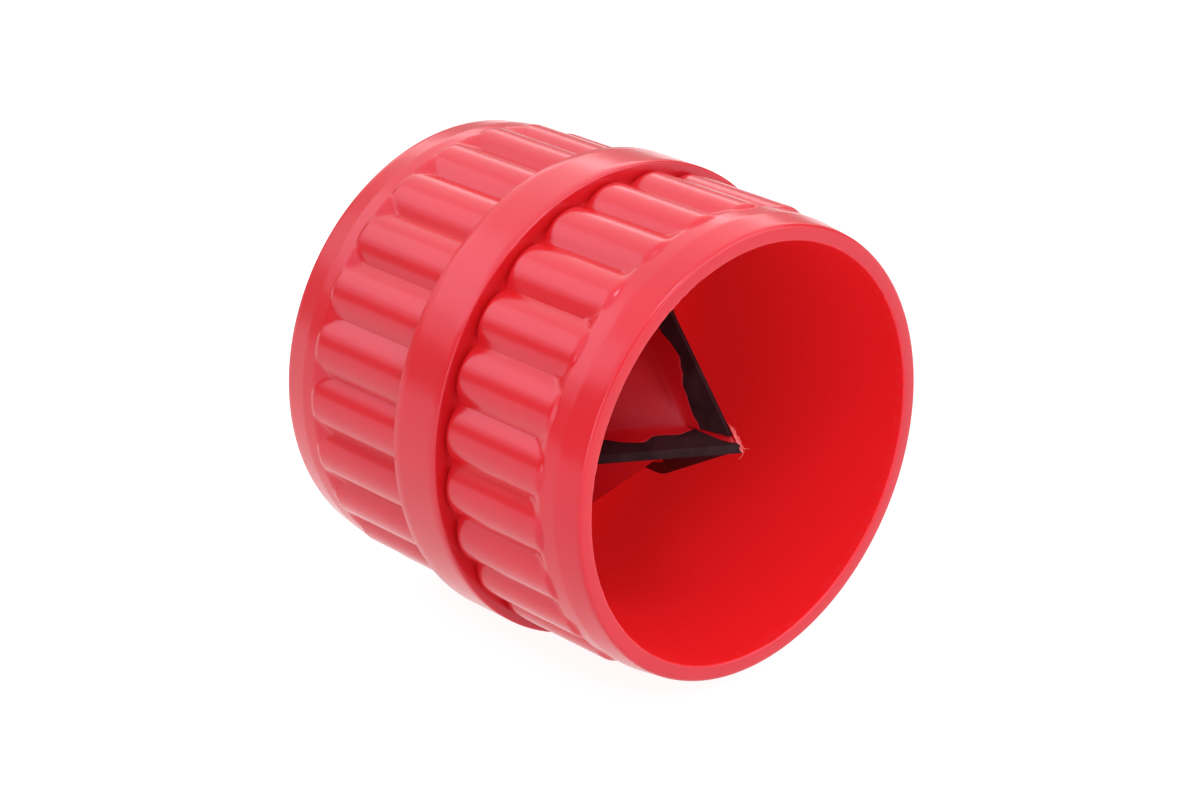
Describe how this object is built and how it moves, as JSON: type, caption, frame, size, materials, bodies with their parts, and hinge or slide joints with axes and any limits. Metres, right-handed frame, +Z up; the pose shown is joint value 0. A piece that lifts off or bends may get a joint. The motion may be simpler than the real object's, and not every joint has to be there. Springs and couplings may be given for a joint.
{
  "type": "pipe reamer",
  "caption": "Ribbed plastic barrel with a cone across its bore and steel blades that deburr a pipe's inner edge at one end and its outer edge at the other.",
  "frame": {"origin": "centre of the bottom of the bounding box, where the middle band rests on the ground", "axes": "+Z up; the barrel's axis runs along Y, with the mouth in front of the cone facing -Y and the funnel facing +Y"},
  "size_m": [0.054, 0.0474, 0.0539],
  "materials": {
    "red_plastic": "moulded red plastic, satin gloss",
    "black_steel": "hardened steel with a black oxide finish and ground cutting edges"
  },
  "bodies": {
    "root": {"body": "red_plastic", "blade_1": "black_steel", "blade_2": "black_steel", "blade_3": "black_steel"}
  },
  "joints": []
}
